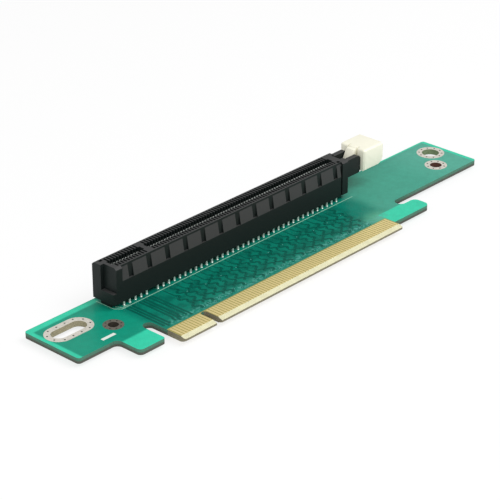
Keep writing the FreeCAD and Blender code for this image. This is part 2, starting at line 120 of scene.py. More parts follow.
# ---------------- settings
def colour(name, description, value):
    """Colour setting."""
    return FloatVectorProperty(name=name, description=description, subtype="COLOR", size=3,
                               min=0.0, max=1.0, default=value)


def length(name, description, millimetres):
    """Length setting, given in millimetres."""
    return FloatProperty(name=name, description=description, subtype="DISTANCE", unit="LENGTH",
                         min=0.0, default=millimetres * MM)


def amount(name, description, value):
    """Setting from 0 to 1."""
    return FloatProperty(name=name, description=description, subtype="FACTOR", min=0.0, max=1.0,
                         default=value)


def angle(name, description, degrees):
    """Angle setting, given in degrees."""
    return FloatProperty(name=name, description=description, subtype="ANGLE", unit="ROTATION",
                         default=math.radians(degrees))


def power(name, description, watts):
    """Setting for a lamp's power."""
    return FloatProperty(name=name, description=description, unit="POWER", default=watts)


class RiserBoardLook(bpy.types.PropertyGroup):
    """Colours of the laminate and its solder mask."""
    mask_copper: colour("Mask over copper", "Mask with copper under it", (0.001, 0.182, 0.124))
    mask_dense: colour("Mask over dense copper", "Dark patches by the traces", (0.0, 0.112, 0.078))
    mask_ground: colour("Mask over ground fill", "Mask at the left end", (0.004, 0.27, 0.175))
    mask_bare: colour("Mask over laminate", "Mask with no copper under it", (0.03, 0.55, 0.35))
    mask_thin: colour("Mask at the right end", "Paler mask by the contacts", (0.003, 0.2, 0.145))
    mask_pale: colour("Mask at the tab's root", "Palest mask, by the fingers", (0.105, 0.43, 0.27))
    # Painted reflection: these two greyer, paler teal colours stand for the pale surroundings
    # reflected at a grazing angle toward the right end.
    arm_painted_reflection: colour("Mask on the right arm", "Mask over the arm's thin fill", (0.055, 0.335, 0.24))
    far_painted_reflection: colour("Mask at the far end", "Paler mask by the right holes", (0.11, 0.42, 0.32))
    # Paler teal patches behind the fingers, in blotches; also the colour of the filled vias.
    mask_pale_teal: colour("Mask behind the fingers", "Paler patches there", (0.08, 0.35, 0.29))
    trace_dark: colour("Traces", "Mask over the etched lines of the pattern", (0.0, 0.094, 0.066))
    laminate: colour("Laminate", "Glass laminate between the fingers", (0.33, 0.3, 0.09))
    bevel: colour("Bevel", "Freshly cut laminate of the bevelled tip", (0.66, 0.64, 0.43))
    edge: colour("Cut edge", "Routed edge of the laminate", (0.075, 0.19, 0.135))
    edge_foot: colour("Edge foot", "Lower, darker part of the routed edge", (0.085, 0.09, 0.074))
    tab_edge: colour("Tab's edge", "Edge of the finger tab and its notch", (0.21, 0.19, 0.13))
    slot_wall: colour("Slot wall", "Wall of the slotted hole", (0.36, 0.33, 0.22))
    large_wall: colour("Large hole's wall", "Wall of the large right hole", (0.2, 0.27, 0.15))
    hole_wall: colour("Small hole's wall", "Wall of the small right hole", (0.11, 0.05, 0.036))
    dull_wall: colour("Dull wall", "Wall of the left round hole", (0.045, 0.036, 0.028))
    ink: colour("Print", "Thin print of the socket's outline", (0.37, 0.66, 0.5))
    white_ink: colour("White bar", "Plain bar in front of the left slot", (0.72, 0.76, 0.71))
    specular: amount("Gloss", "Strength of the mask's reflections", 0.18)
    roughness: amount("Roughness", "Roughness of the cured mask", 0.34)


class RiserTraceSizes(bpy.types.PropertyGroup):
    """Sizes of the copper pattern and the print."""
    trace_width: length("Trace width", "Width of a meandering trace", 0.74)
    power_width: length("Power trace width", "Width of a straight trace", 0.68)
    print_width: length("Print line width", "Width of a printed line", 0.17)
    column_pitch: length("Column pitch", "Width that two signal traces take up", 4.6)
    thickness: length("Thickness", "How far traces and print stand up", 0.02)
    bend_radius: length("Bend radius", "Radius at each bend of a trace", 0.75)
    meander: length("Meander", "Sideways reach of a trace's meanders", 1.45)
    via_radius: length("Via radius", "Radius of a via's ring", 0.40)
    via_hole: length("Via hole", "Radius of a via's filled hole", 0.20)
    stitch_radius: length("Stitching hole", "Radius of the holes in the mounting lands", 0.26)


class RiserMetalLook(bpy.types.PropertyGroup):
    """Colours of the plated and soldered pieces."""
    gold: colour("Gold", "Plating of the edge fingers", (0.9, 0.74, 0.34))
    contact: colour("Contact", "Plating of the socket's contacts", (0.74, 0.8, 0.75))
    solder: colour("Solder", "Solder joints under the board", (0.64, 0.64, 0.62))
    fillet: colour("Fillet", "Solder at the front contacts' feet", (0.62, 0.7, 0.64))
    land: colour("Land", "Plating of the mounting lands", (0.64, 0.61, 0.54))
    dull_land: colour("Dull land", "Tarnished land of the left hole", (0.16, 0.145, 0.12))
    # Painted shade: the inside of each stitching hole is a dark disc on the land, in place of the
    # shade within the hole.
    painted_hole_shade: colour("Stitching hole", "Inside of a stitching hole", (0.025, 0.03, 0.022))


class RiserPlasticLook(bpy.types.PropertyGroup):
    """Colours of the two mouldings."""
    # Painted light and shade: the first colour is for upright faces, kept dark as painted shade;
    # the second, for faces that look up, is lighter as painted light from above, not a texture.
    socket: colour("Socket", "Polished walls of the black moulding", (0.008, 0.012, 0.0115))
    socket_top: colour("Socket's ramps", "Textured ramps and top", (0.042, 0.043, 0.043))
    latch: colour("Latch", "Cream moulding of the card latch", (0.87, 0.85, 0.705))
    grain: length("Grain", "Size of the mould's grain", 0.25)
    socket_specular: amount("Socket gloss", "Strength of the socket's reflections", 0.22)
    socket_roughness: amount("Socket roughness", "Roughness of the black moulding", 0.52)
    latch_round: length("Latch round", "Round on the latch's moulded edges", 0.22)
    latch_roughness: amount("Latch roughness", "Roughness of the cream moulding", 0.40)


class RiserStageLook(bpy.types.PropertyGroup):
    """Camera, lamps and floor."""
    azimuth: angle("Azimuth", "Camera's bearing from the front", 47.216)
    elevation: angle("Elevation", "Camera's height above the horizon", 26.840)
    roll: angle("Roll", "Camera's turn about its view", 0.142)
    distance: length("Distance", "From the camera to its target", 536.42)
    lens: FloatProperty(name="Lens", description="Focal length on a 36 mm sensor", min=10.0,
                        default=145.79)
    floor: colour("Floor", "Pale floor and backdrop", (0.9, 0.9, 0.9))
    key: power("Key lamp", "Power of the large soft lamp", 5.2)
    fill: power("Fill lamp", "Power of the fill lamp", 1.9)
    ambient: amount("Ambient", "Brightness of the surroundings", 0.55)


LOOKS = {
    "riser_board": RiserBoardLook,
    "riser_traces": RiserTraceSizes,
    "riser_metal": RiserMetalLook,
    "riser_plastic": RiserPlasticLook,
    "riser_stage": RiserStageLook,
}


# ---------------- node helpers
def rgba(values):
    """Colour with full opacity."""
    return (values[0], values[1], values[2], 1.0)


def label_of(name):
    """Name of a socket as its label shows it."""
    return name.replace("_", " ").title()


def feed(tree, target, value):
    """Links an output to an input, or sets the input to a plain number or colour."""
    if isinstance(value, bpy.types.NodeSocket):
        tree.links.new(value, target)
    else:
        target.default_value = rgba(value) if target.type == "RGBA" else value


def add_node(tree, kind, **values):
    """Adds one node and gives it its settings and inputs by name."""
    node = tree.nodes.new(kind)
    for name, value in values.items():
        if label_of(name) in node.inputs:
            feed(tree, node.inputs[label_of(name)], value)
        else:
            setattr(node, name, value)
    return node


def add_inputs(tree, **kinds):
    """Gives a shared node tree its inputs, and returns their sockets inside it."""
    for name, kind in kinds.items():
        tree.interface.new_socket(label_of(name), in_out="INPUT", socket_type=kind)
    return list(tree.nodes.new("NodeGroupInput").outputs)[:len(kinds)]


def calculate(tree, operation, *values, kind="ShaderNodeMath"):
    """Result of a math node on values that are sockets or plain."""
    node = add_node(tree, kind, operation=operation)
    for target, value in zip(node.inputs, values):
        feed(tree, target, value)
    return node.outputs[0]


def product_of_parts(tree, vector):
    """Product of a vector's three parts."""
    parts = add_node(tree, "ShaderNodeSeparateXYZ", vector=vector)
    area = calculate(tree, "MULTIPLY", parts.outputs["X"], parts.outputs["Y"])
    return calculate(tree, "MULTIPLY", area, parts.outputs["Z"])


def ramp(tree, value, low, high, first=0.0, last=1.0):
    """Maps the span from low to high onto the span from first to last."""
    return add_node(tree, "ShaderNodeMapRange", value=value, from_min=low, from_max=high,
                    to_min=first, to_max=last).outputs["Result"]


def blend(tree, mask, under, over, kind="RGBA"):
    """Mixes two colours, or two numbers where the kind is FLOAT; each is a socket or plain."""
    node = add_node(tree, "ShaderNodeMix", data_type=kind)
    under_input, over_input, result = MIX_SOCKETS[kind]
    for number, value in ((0, mask), (under_input, under), (over_input, over)):
        feed(tree, node.inputs[number], value)
    return node.outputs[result]


# ---------------- shared shader groups
def start_group(name, **kinds):
    """Shader node group with named inputs, and their sockets inside it."""
    group = bpy.data.node_groups.new(name, "ShaderNodeTree")
    return group, add_inputs(group, **kinds)


def end_group(group, **results):
    """Gives a group its outputs."""
    for name in results:
        group.interface.new_socket(label_of(name), in_out="OUTPUT", socket_type=FLOAT)
    add_node(group, "NodeGroupOutput", **results)
    return group


def make_field_group():
    """Mask that is 1 inside a box and fades over a soft rim."""
    group, (place, low, high, rim) = start_group(
        "Field", place=VECTOR, low=VECTOR, high=VECTOR, rim=FLOAT)
    sides = []
    for corner, first, last in ((low, 0.0, 1.0), (high, 1.0, 0.0)):
        step = add_node(group, "ShaderNodeMapRange", data_type="FLOAT_VECTOR",
                        interpolation_type="SMOOTHSTEP", vector=place)
        before = calculate(group, "SUBTRACT", corner, rim, kind=VECTOR_MATH)
        after = calculate(group, "ADD", corner, rim, kind=VECTOR_MATH)
        for number, value in zip(VECTOR_SPANS, (before, after, (first,) * 3, (last,) * 3)):
            feed(group, step.inputs[number], value)
        sides.append(step.outputs["Vector"])
    both = calculate(group, "MULTIPLY", *sides, kind=VECTOR_MATH)
    return end_group(group, mask=product_of_parts(group, both))


def make_grain_group():
    """Fine moulded or cured grain: a height for a bump and a small change of shade."""
    group, (place, scale, contrast) = start_group(
        "Grain", place=VECTOR, scale=FLOAT, contrast=FLOAT)
    noise = add_node(group, "ShaderNodeTexNoise", noise_dimensions="3D", detail=3.0,
                     vector=place, scale=scale)
    centred = calculate(group, "SUBTRACT", noise.outputs[0], 0.5)
    return end_group(group, height=noise.outputs[0],
                     shade=calculate(group, "MULTIPLY_ADD", centred, contrast, 1.0))


def make_weave_group():
    """Crossed ribs of glass cloth, as a shade about 1, along each axis that has a count."""
    group, (place, ribs, contrast) = start_group(
        "Weave", place=VECTOR, ribs=VECTOR, contrast=FLOAT)
    turn = calculate(group, "MULTIPLY", place, ribs, kind=VECTOR_MATH)
    cloth = product_of_parts(group, calculate(group, "COSINE", turn, kind=VECTOR_MATH))
    return end_group(group, shade=calculate(group, "MULTIPLY_ADD", cloth, contrast, 1.0))


def make_upward_group():
    """Mask that grows from 0 on upright faces to 1 on faces that look up or down."""
    group, (start, full) = start_group("Upward", start=FLOAT, full=FLOAT)
    normal = group.nodes.new("ShaderNodeNewGeometry").outputs["True Normal"]
    facing = add_node(group, "ShaderNodeSeparateXYZ", vector=normal)
    steepness = calculate(group, "ABSOLUTE", facing.outputs["Z"])
    return end_group(group, mask=ramp(group, steepness, start, full))


def shared(name):
    """One of the shared node trees, built the first time it is asked for."""
    makers = {"Field": make_field_group, "Grain": make_grain_group, "Upward": make_upward_group,
              "Weave": make_weave_group, "Tracks": track_tree, "Studs": stud_tree}
    return bpy.data.node_groups.get(name) or makers[name]()


def use_group(tree, name, **values):
    """Puts a shared group into a material with its own values."""
    return add_node(tree, "ShaderNodeGroup", node_tree=shared(name), **values)


# ---------------- finishes
def blank_tree(owner, output_kind):
    """Empty node tree of a material or world, and its surface input."""
    owner.use_nodes = True
    tree = owner.node_tree
    tree.nodes.clear()
    return tree, tree.nodes.new(output_kind).inputs["Surface"]


def blank_material(name, metallic=0.0, specular=0.5):
    """Material with one Principled shader and its Object coordinates."""
    material = bpy.data.materials.new(name)
    tree, surface = blank_tree(material, "ShaderNodeOutputMaterial")
    shader = add_node(tree, "ShaderNodeBsdfPrincipled", metallic=metallic)
    shader.inputs["Specular IOR Level"].default_value = specular
    tree.links.new(shader.outputs["BSDF"], surface)
    return material, tree, shader, tree.nodes.new("ShaderNodeTexCoord").outputs["Object"]


def field_mask(tree, place, low, high, rim):
    """Mask of one box, in millimetres of the part's own frame."""
    return use_group(tree, "Field", place=place, low=Vector(low) * MM, high=Vector(high) * MM,
                     rim=rim * MM).outputs["Mask"]


def area_mask(tree, place, corners, rim):
    """Mask of an area in plan, right through the board."""
    left, front, right, back = corners
    return field_mask(tree, place, (left, front, BELOW), (right, back, ABOVE), rim)


def painted(tree, place, areas, base):
    """A colour with areas over it: each has its corners, a rim and a colour of its own."""
    for *corners, rim, tint in areas:
        base = blend(tree, area_mask(tree, place, corners, rim), base, tint)
    return base


def upward_mask(tree, start, full):
    """Mask of the faces that look up or down, by the height of their normal."""
    return use_group(tree, "Upward", start=start, full=full).outputs["Mask"]


def weave_shade(tree, place, pitches, contrast):
    """Shade of ribs at a pitch in millimetres along each axis that has one."""
    ribs = [2 * math.pi / (pitch * MM) if pitch else 0.0 for pitch in pitches]
    return use_group(tree, "Weave", place=place, ribs=ribs, contrast=contrast).outputs["Shade"]


def shaded(tree, base, shade):
    """A colour with its brightness changed by a shade."""
    return add_node(tree, VECTOR_MATH, operation="SCALE", vector=base, scale=shade).outputs[0]


def blotches(tree, place, size):
    """A soft uneven mask, 0 to 1, in patches of about one size."""
    grain = use_group(tree, "Grain", place=place, scale=1.0 / size)
    return ramp(tree, grain.outputs["Height"], *BLOTCH_SPAN)


def grain_on(tree, shader, place, size, contrast, base, bump):
    """Gives a shader its colour with grain, and a fine bump."""
    grain = use_group(tree, "Grain", place=place, scale=1.0 / size, contrast=contrast)
    tree.links.new(shaded(tree, base, grain.outputs["Shade"]), shader.inputs["Base Color"])
    relief = add_node(tree, "ShaderNodeBump", strength=bump, distance=GRAIN_DEPTH,
                      height=grain.outputs["Height"])
    tree.links.new(relief.outputs["Normal"], shader.inputs["Normal"])
    return grain


def vary_roughness(tree, shader, grain, middle, spread):
    """Lets a grain move the roughness about a middle value."""
    varied = ramp(tree, grain.outputs["Height"], *GRAIN_SPAN, middle - spread, middle + spread)
    tree.links.new(varied, shader.inputs["Roughness"])


def grained_material(name, base, roughness, metallic=0.0, size=0.3 * MM, contrast=0.2,
                     specular=0.5):
    """Finish of one colour with a grain in its shade, height and roughness."""
    material, tree, shader, place = blank_material(name, metallic, specular)
    grain = grain_on(tree, shader, place, size, contrast, base, FINE_BUMP)
    vary_roughness(tree, shader, grain, roughness, ROUGHNESS_SPREAD)
    return material


def paint(node_names, material):
    """Gives CAD nodes their finish."""
    for name in node_names:
        mesh = frame["nodes"][name].data
        mesh.materials.clear()
        mesh.materials.append(material)


# ---------------- geometry helpers
def add_object(name, data):
    """New object in the scene."""
    added = bpy.data.objects.new(name, data)
    bpy.context.scene.collection.objects.link(added)
    return added


def smooth(mesh):
    """Smooth shading, with the sharp edges kept."""
    mesh.shade_smooth()
    mesh.set_sharp_from_angle(angle=SHARP_ANGLE)


def start_tree(name, **kinds):
    """Geometry Nodes tree with its inputs, and their sockets inside it."""
    tree = bpy.data.node_groups.new(name, "GeometryNodeTree")
    tree.interface.new_socket("Geometry", in_out="OUTPUT", socket_type=SHAPE)
    return tree, add_inputs(tree, geometry=SHAPE, **kinds, finish="NodeSocketMaterial")


def end_tree(tree, geometry, finish):
    """Realizes the instances and sets the finish."""
    real = add_node(tree, "GeometryNodeRealizeInstances", geometry=geometry)
    done = add_node(tree, "GeometryNodeSetMaterial", geometry=real.outputs[0], material=finish)
    tree.links.new(done.outputs[0], tree.nodes.new("NodeGroupOutput").inputs[0])
    return tree


def track_tree():
    """Flat closed bars along the guide lines, with round bends."""
    tree, (guide, width, thickness, bend, finish) = start_tree(
        "Tracks", width=FLOAT, thickness=FLOAT, bend_radius=FLOAT)
    curve = add_node(tree, "GeometryNodeMeshToCurve", mesh=guide)
    fillet = add_node(tree, "GeometryNodeFilletCurve", mode="POLY", count=BEND_STEPS,
                      limit_radius=True, curve=curve.outputs["Curve"], radius=bend)
    upright = add_node(tree, "GeometryNodeSetCurveNormal", mode="Z_UP",
                       curve=fillet.outputs["Curve"])
    section = add_node(tree, "GeometryNodeCurvePrimitiveQuadrilateral", width=width,
                       height=thickness)
    bars = add_node(tree, "GeometryNodeCurveToMesh", curve=upright.outputs["Curve"],
                    profile_curve=section.outputs["Curve"], fill_caps=True)
    return end_tree(tree, bars.outputs["Mesh"], finish)


def stud_tree():
    """A round stud, straight or tapered, on every guide point."""
    tree, (guide, top, bottom, height, sides, finish) = start_tree(
        "Studs", radius_top=FLOAT, radius_bottom=FLOAT, height=FLOAT, sides="NodeSocketInt")
    cone = add_node(tree, "GeometryNodeMeshCone", vertices=sides, radius_top=top,
                    radius_bottom=bottom, depth=height)
    studs = add_node(tree, "GeometryNodeInstanceOnPoints", points=guide,
                     instance=cone.outputs["Mesh"])
    return end_tree(tree, studs.outputs["Instances"], finish)


def grow(name, tree_name, points, lines, slot, **sizes):
    """Runs a tree on guide points and keeps the result as one piece that rides on the board."""
    guide_mesh = bpy.data.meshes.new(name + "_guide")
    guide_mesh.from_pydata(points, lines, [])
    guide = add_object(name + "_guide", guide_mesh)
    tree = shared(tree_name)
    modifier = guide.modifiers.new(tree_name, "NODES")
    modifier.node_group = tree
    for item in tree.interface.items_tree:
        key = item.name.lower().replace(" ", "_")
        if item.in_out == "INPUT" and key in sizes:
            modifier[item.identifier] = sizes[key]
    graph = bpy.context.evaluated_depsgraph_get()
    mesh = bpy.data.meshes.new_from_object(guide.evaluated_get(graph), depsgraph=graph)
    mesh.name = name
    bpy.data.objects.remove(guide)
    if not mesh.polygons:
        raise RuntimeError(name + " came out empty")
    smooth(mesh)
    piece = add_object(name, mesh)
    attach(piece, BODY)
    return piece


def grow_tracks(name, paths, height, slot, finish, width, thickness, bend):
    """One piece from several paths of (x, y) points at one height."""
    points, lines = [], []
    for path in paths:
        first = len(points)
        points += [(x, y, height) for x, y in path]
        lines += [(first + step, first + step + 1) for step in range(len(path) - 1)]
    return grow(name, "Tracks", points, lines, slot, width=width, thickness=thickness,
                bend_radius=bend, finish=finish)


def grow_studs(name, places, height, slot, finish, radius, thickness, sides=12, tip=None):
    """One piece from a round stud at each (x, y)."""
    points = [(x, y, height) for x, y in places]
    return grow(name, "Studs", points, [], slot, radius_bottom=radius,
                radius_top=radius if tip is None else tip, height=thickness, sides=sides,
                finish=finish)


def uneven(number, factor, cycle):
    """Whole number under the cycle, in an order that looks uneven."""
    return (number * factor) % cycle


# ---------------- operators
class RISER_OT_board(bpy.types.Operator):
    """Paint the laminate: solder mask, finger zone, bevel, edges and holes"""
    bl_idname = "riser.board"
    bl_label = "Paint Board"
    # Heights of the normal from which a face takes the mask's colour, and has it fully.
    flat_from, flat_full = 0.20, 0.30
    bump, edge_roughness = 0.10, 0.80
    # Pitches and contrasts of the glass cloth in the faces and of its layers in the edges.
    cloth, layers = ((0.62, 0.54, None), 0.05), ((None, None, 0.32), 0.16)
    # Printed bar: its corners from the board's left back corner, its rim and its depth.
    bar_corners, bar_rim, bar_depth = (10.2, -17.55, 14.6, -16.55), 0.04, 0.1
    # Darker foot of the edges: its height and rim, and how far its field goes past the board.
    foot_height, foot_rim, foot_margin = 0.75, 0.30, 9.0

    def mask_areas(self, look):
        """Even areas of the mask, the later ones over the earlier."""
        return [
            (LEFT, FRONT, TAB_LEFT - 0.8, BACK, 1.6, look.mask_ground),
            (TAB_RIGHT - 10.0, FRONT, RIGHT, BACK, 7.0, look.mask_thin),
            (LEFT + 1.0, BACK - 2.0, LEFT + 23.5, BACK, 0.40, look.mask_bare),
            (LEFT - 1.0, FRONT, LEFT + 1.3, BACK, 0.40, look.mask_bare),
            (LEFT + 11.5, FRONT, LEFT + 22.0, BACK - 21.3, 0.50, look.mask_bare),
            (TAB_RIGHT - 5.0, FRONT, TAB_RIGHT + 3.0, TAB_BACK + 4.5, 3.0, look.mask_pale),
            # Painted reflection of the pale surroundings over the right end, paler toward the far
            # edge.
            (TAB_RIGHT + 3.2, FRONT, RIGHT, BACK, 2.5, look.arm_painted_reflection),
            (RIGHT - 16.0, FRONT, RIGHT + 9.0, BACK + 9.0, 9.0, look.far_painted_reflection),
            (TAB_RIGHT, FRONT - 1.0, RIGHT, BACK - 22.4, 0.20, look.mask_bare),
            (RIGHT - 1.2, FRONT, RIGHT + 1.0, BACK, 0.40, look.mask_bare),
            (TAB_RIGHT + 26.0, BACK - 0.5, RIGHT, BACK + 1.0, 0.40, look.mask_bare),
        ]

    def patchy_areas(self, look):
        """Areas that show in blotches only, with the size of a blotch before the colour."""
        return [
            (TAB_LEFT + 2.0, TAB_BACK + 1.0, TAB_RIGHT - 4.0, BACK - 4.0, 2.0, 3.0,
             look.mask_dense),
            (TAB_LEFT + 2.0, TAB_BACK + 1.0, TAB_RIGHT + 2.0, TAB_BACK + 2.8, 1.3, 0.9,
             look.mask_pale_teal),
        ]

    def tab_areas(self, look):
        """Bare laminate between the fingers, and the bevel in front of them."""
        return [
            (TAB_LEFT, FRONT - 1.0, TAB_RIGHT - 0.2, TAB_BACK + 0.35, 0.06, look.laminate),
            (TAB_LEFT, FRONT - 1.0, TAB_RIGHT - 0.2, BEVEL_BACK, 0.06, look.bevel),
        ]

    def wall_areas(self, look):
        """Areas that tint the cut walls: the slot, the holes and the tab with its notch."""
        return [
            (LEFT + 4.0, BACK - 12.0, LEFT + 14.0, BACK - 3.0, 0.05, look.slot_wall),
            (LEFT + 14.5, BACK - 16.0, LEFT + 20.0, BACK - 11.5, 0.05, look.dull_wall),
            (TAB_LEFT + 0.1, FRONT - 1.0, TAB_RIGHT, TAB_BACK, 0.05, look.tab_edge),
            (RIGHT - 8.5, BACK - 10.5, RIGHT - 2.2, BACK - 3.0, 0.05, look.large_wall),
            (RIGHT - 13.5, BACK - 16.0, RIGHT - 8.6, BACK - 11.0, 0.05, look.hole_wall),
        ]

    def face_colour(self, tree, place, look):
        """Colour of the upper and lower faces, with the plain printed bar."""
        base = painted(tree, place, self.mask_areas(look), look.mask_copper)
        for *corners, rim, size, tint in self.patchy_areas(look):
            mask = calculate(tree, "MULTIPLY", area_mask(tree, place, corners, rim),
                             blotches(tree, place, size * MM))
            base = blend(tree, mask, base, tint)
        base = painted(tree, place, self.tab_areas(look), base)
        left, front, right, back = self.bar_corners
        bar = field_mask(tree, place, (LEFT + left, BACK + front, TOP / MM - self.bar_depth),
                         (LEFT + right, BACK + back, ABOVE), self.bar_rim)
        base = blend(tree, bar, base, look.white_ink)
        return shaded(tree, base, weave_shade(tree, place, *self.cloth))

    def edge_colour(self, tree, place, look):
        """Colour of the routed edges and the walls of the holes."""
        past = self.foot_margin
        top = BOARD_LOW.z / MM + self.foot_height
        foot = field_mask(tree, place, (LEFT - past, FRONT - past, BELOW),
                          (RIGHT + past, BACK + past, top), self.foot_rim)
        edge = blend(tree, foot, look.edge, look.edge_foot)
        edge = painted(tree, place, self.wall_areas(look), edge)
        return shaded(tree, edge, weave_shade(tree, place, *self.layers))

    def execute(self, context):
        look = context.scene.riser_board
        material, tree, shader, place = blank_material("solder_mask", specular=look.specular)
        flat = upward_mask(tree, self.flat_from, self.flat_full)
        base = blend(tree, flat, self.edge_colour(tree, place, look),
                     self.face_colour(tree, place, look))
        grain_on(tree, shader, place, MASK_GRAIN, MASK_CONTRAST, base, self.bump)
        roughness = blend(tree, flat, self.edge_roughness, look.roughness, kind="FLOAT")
        tree.links.new(roughness, shader.inputs["Roughness"])
        paint(["circuit_board"], material)
        return {"FINISHED"}


class RISER_OT_traces(bpy.types.Operator):
    """Lay the copper pattern: straight traces by the first contacts, then meandering ones"""
    bl_idname = "riser.traces"
    bl_label = "Lay Traces"
    far_end = ROW_Y - 5.0 * MM
    field_end = LAST_X - 5.0 * MM
    swing_length, swings, group = 1.4 * MM, 3, 4
    # Where a swing turns, as shares of its length, and the gap to its lead.
    turn_from, turn_over, lead_gap = 0.2, 0.6, 0.2 * MM
    # Straight traces: how far off their contact, their jog, and where it starts and ends.
    offset, jog, jog_from, jog_to = 0.1 * MM, 0.5 * MM, 0.8 * MM, 1.9 * MM
    # Millimetres behind the fingers, or from stretch to stretch: the least, and a step more.
    straight_start, low_start, high_gap = (1.2, 0.8), (1.8, 0.6), (0.8, 0.5)

    def straight_paths(self):
        """Power and clock traces with a jog near the fingers, and a gap after each three."""
        least, more = self.straight_start
        paths = []
        for number in range(1, STRAIGHT_COUNT + 1):
            if number % self.group == 0:
                continue
            x = position_x(number) + self.offset
            jog = self.jog if (number // self.group) % 2 else 0.0
            start = FINGER_BACK + (least + more * (number % 2)) * MM
            paths.append([(x, start), (x, start + self.jog_from), (x + jog, start + self.jog_to),
                          (x + jog, self.far_end)])
        return paths

    def meander_lines(self, pitch):
        """Each signal trace's line, and where its two stretches start to swing."""
        first = position_x(STRAIGHT_COUNT + 2)
        least, more = self.low_start
        gap, wider = self.high_gap
        lines = []
        for column in range(int((self.field_end - first) / pitch * 2) + 1):
            low = FINGER_BACK + (least + more * uneven(column, 3, 5)) * MM
            high = low + self.swings * self.swing_length + (gap + wider * uneven(column, 5, 3)) * MM
            lines.append((first + column * pitch / 2, low, high))
        return lines

    def meander_paths(self, lines, reach):
        """Stretches that swing from side to side for equal length."""
        paths = []
        for x, *starts in lines:
            for start in starts:
                path = [(x, start)]
                for swing in range(self.swings):
                    y = start + (swing + self.turn_from) * self.swing_length
                    way = reach / 2 if swing % 2 == 0 else -reach / 2
                    path += [(x + way, y), (x + way, y + self.turn_over * self.swing_length)]
                paths.append(path + [(x, start + self.swings * self.swing_length)])
        return paths

    def lead_paths(self, lines):
        """Thin leads that join the swinging stretches to each other and to the socket."""
        reach = self.swings * self.swing_length + self.lead_gap
        paths = []
        for x, low, high in lines:
            paths += [[(x, low + reach), (x, high - self.lead_gap)],
                      [(x, high + reach), (x, self.far_end)]]
        return paths

    def execute(self, context):
        sizes = context.scene.riser_traces
        look = context.scene.riser_board
        dark = grained_material("trace_mask", look.trace_dark, look.roughness, size=MASK_GRAIN,
                                contrast=MASK_CONTRAST, specular=look.specular)
        straight = self.straight_paths()
        lines = self.meander_lines(sizes.column_pitch)
        signals = self.meander_paths(lines, sizes.meander)
        leads = self.lead_paths(lines)
        top = TOP + sizes.thickness / 2
        underside = BOARD_LOW.z - sizes.thickness / 2
        for name, paths, height, width in (
                ("power_traces", straight, top, sizes.power_width),
                ("signal_traces", signals, top, sizes.trace_width),
                ("lead_traces", leads, top, sizes.trace_width / 2),
                ("underside_traces", straight + leads, underside, sizes.trace_width / 2)):
            grow_tracks(name, paths, height, "solder_mask", dark, width, sizes.thickness,
                        sizes.bend_radius)
        return {"FINISHED"}


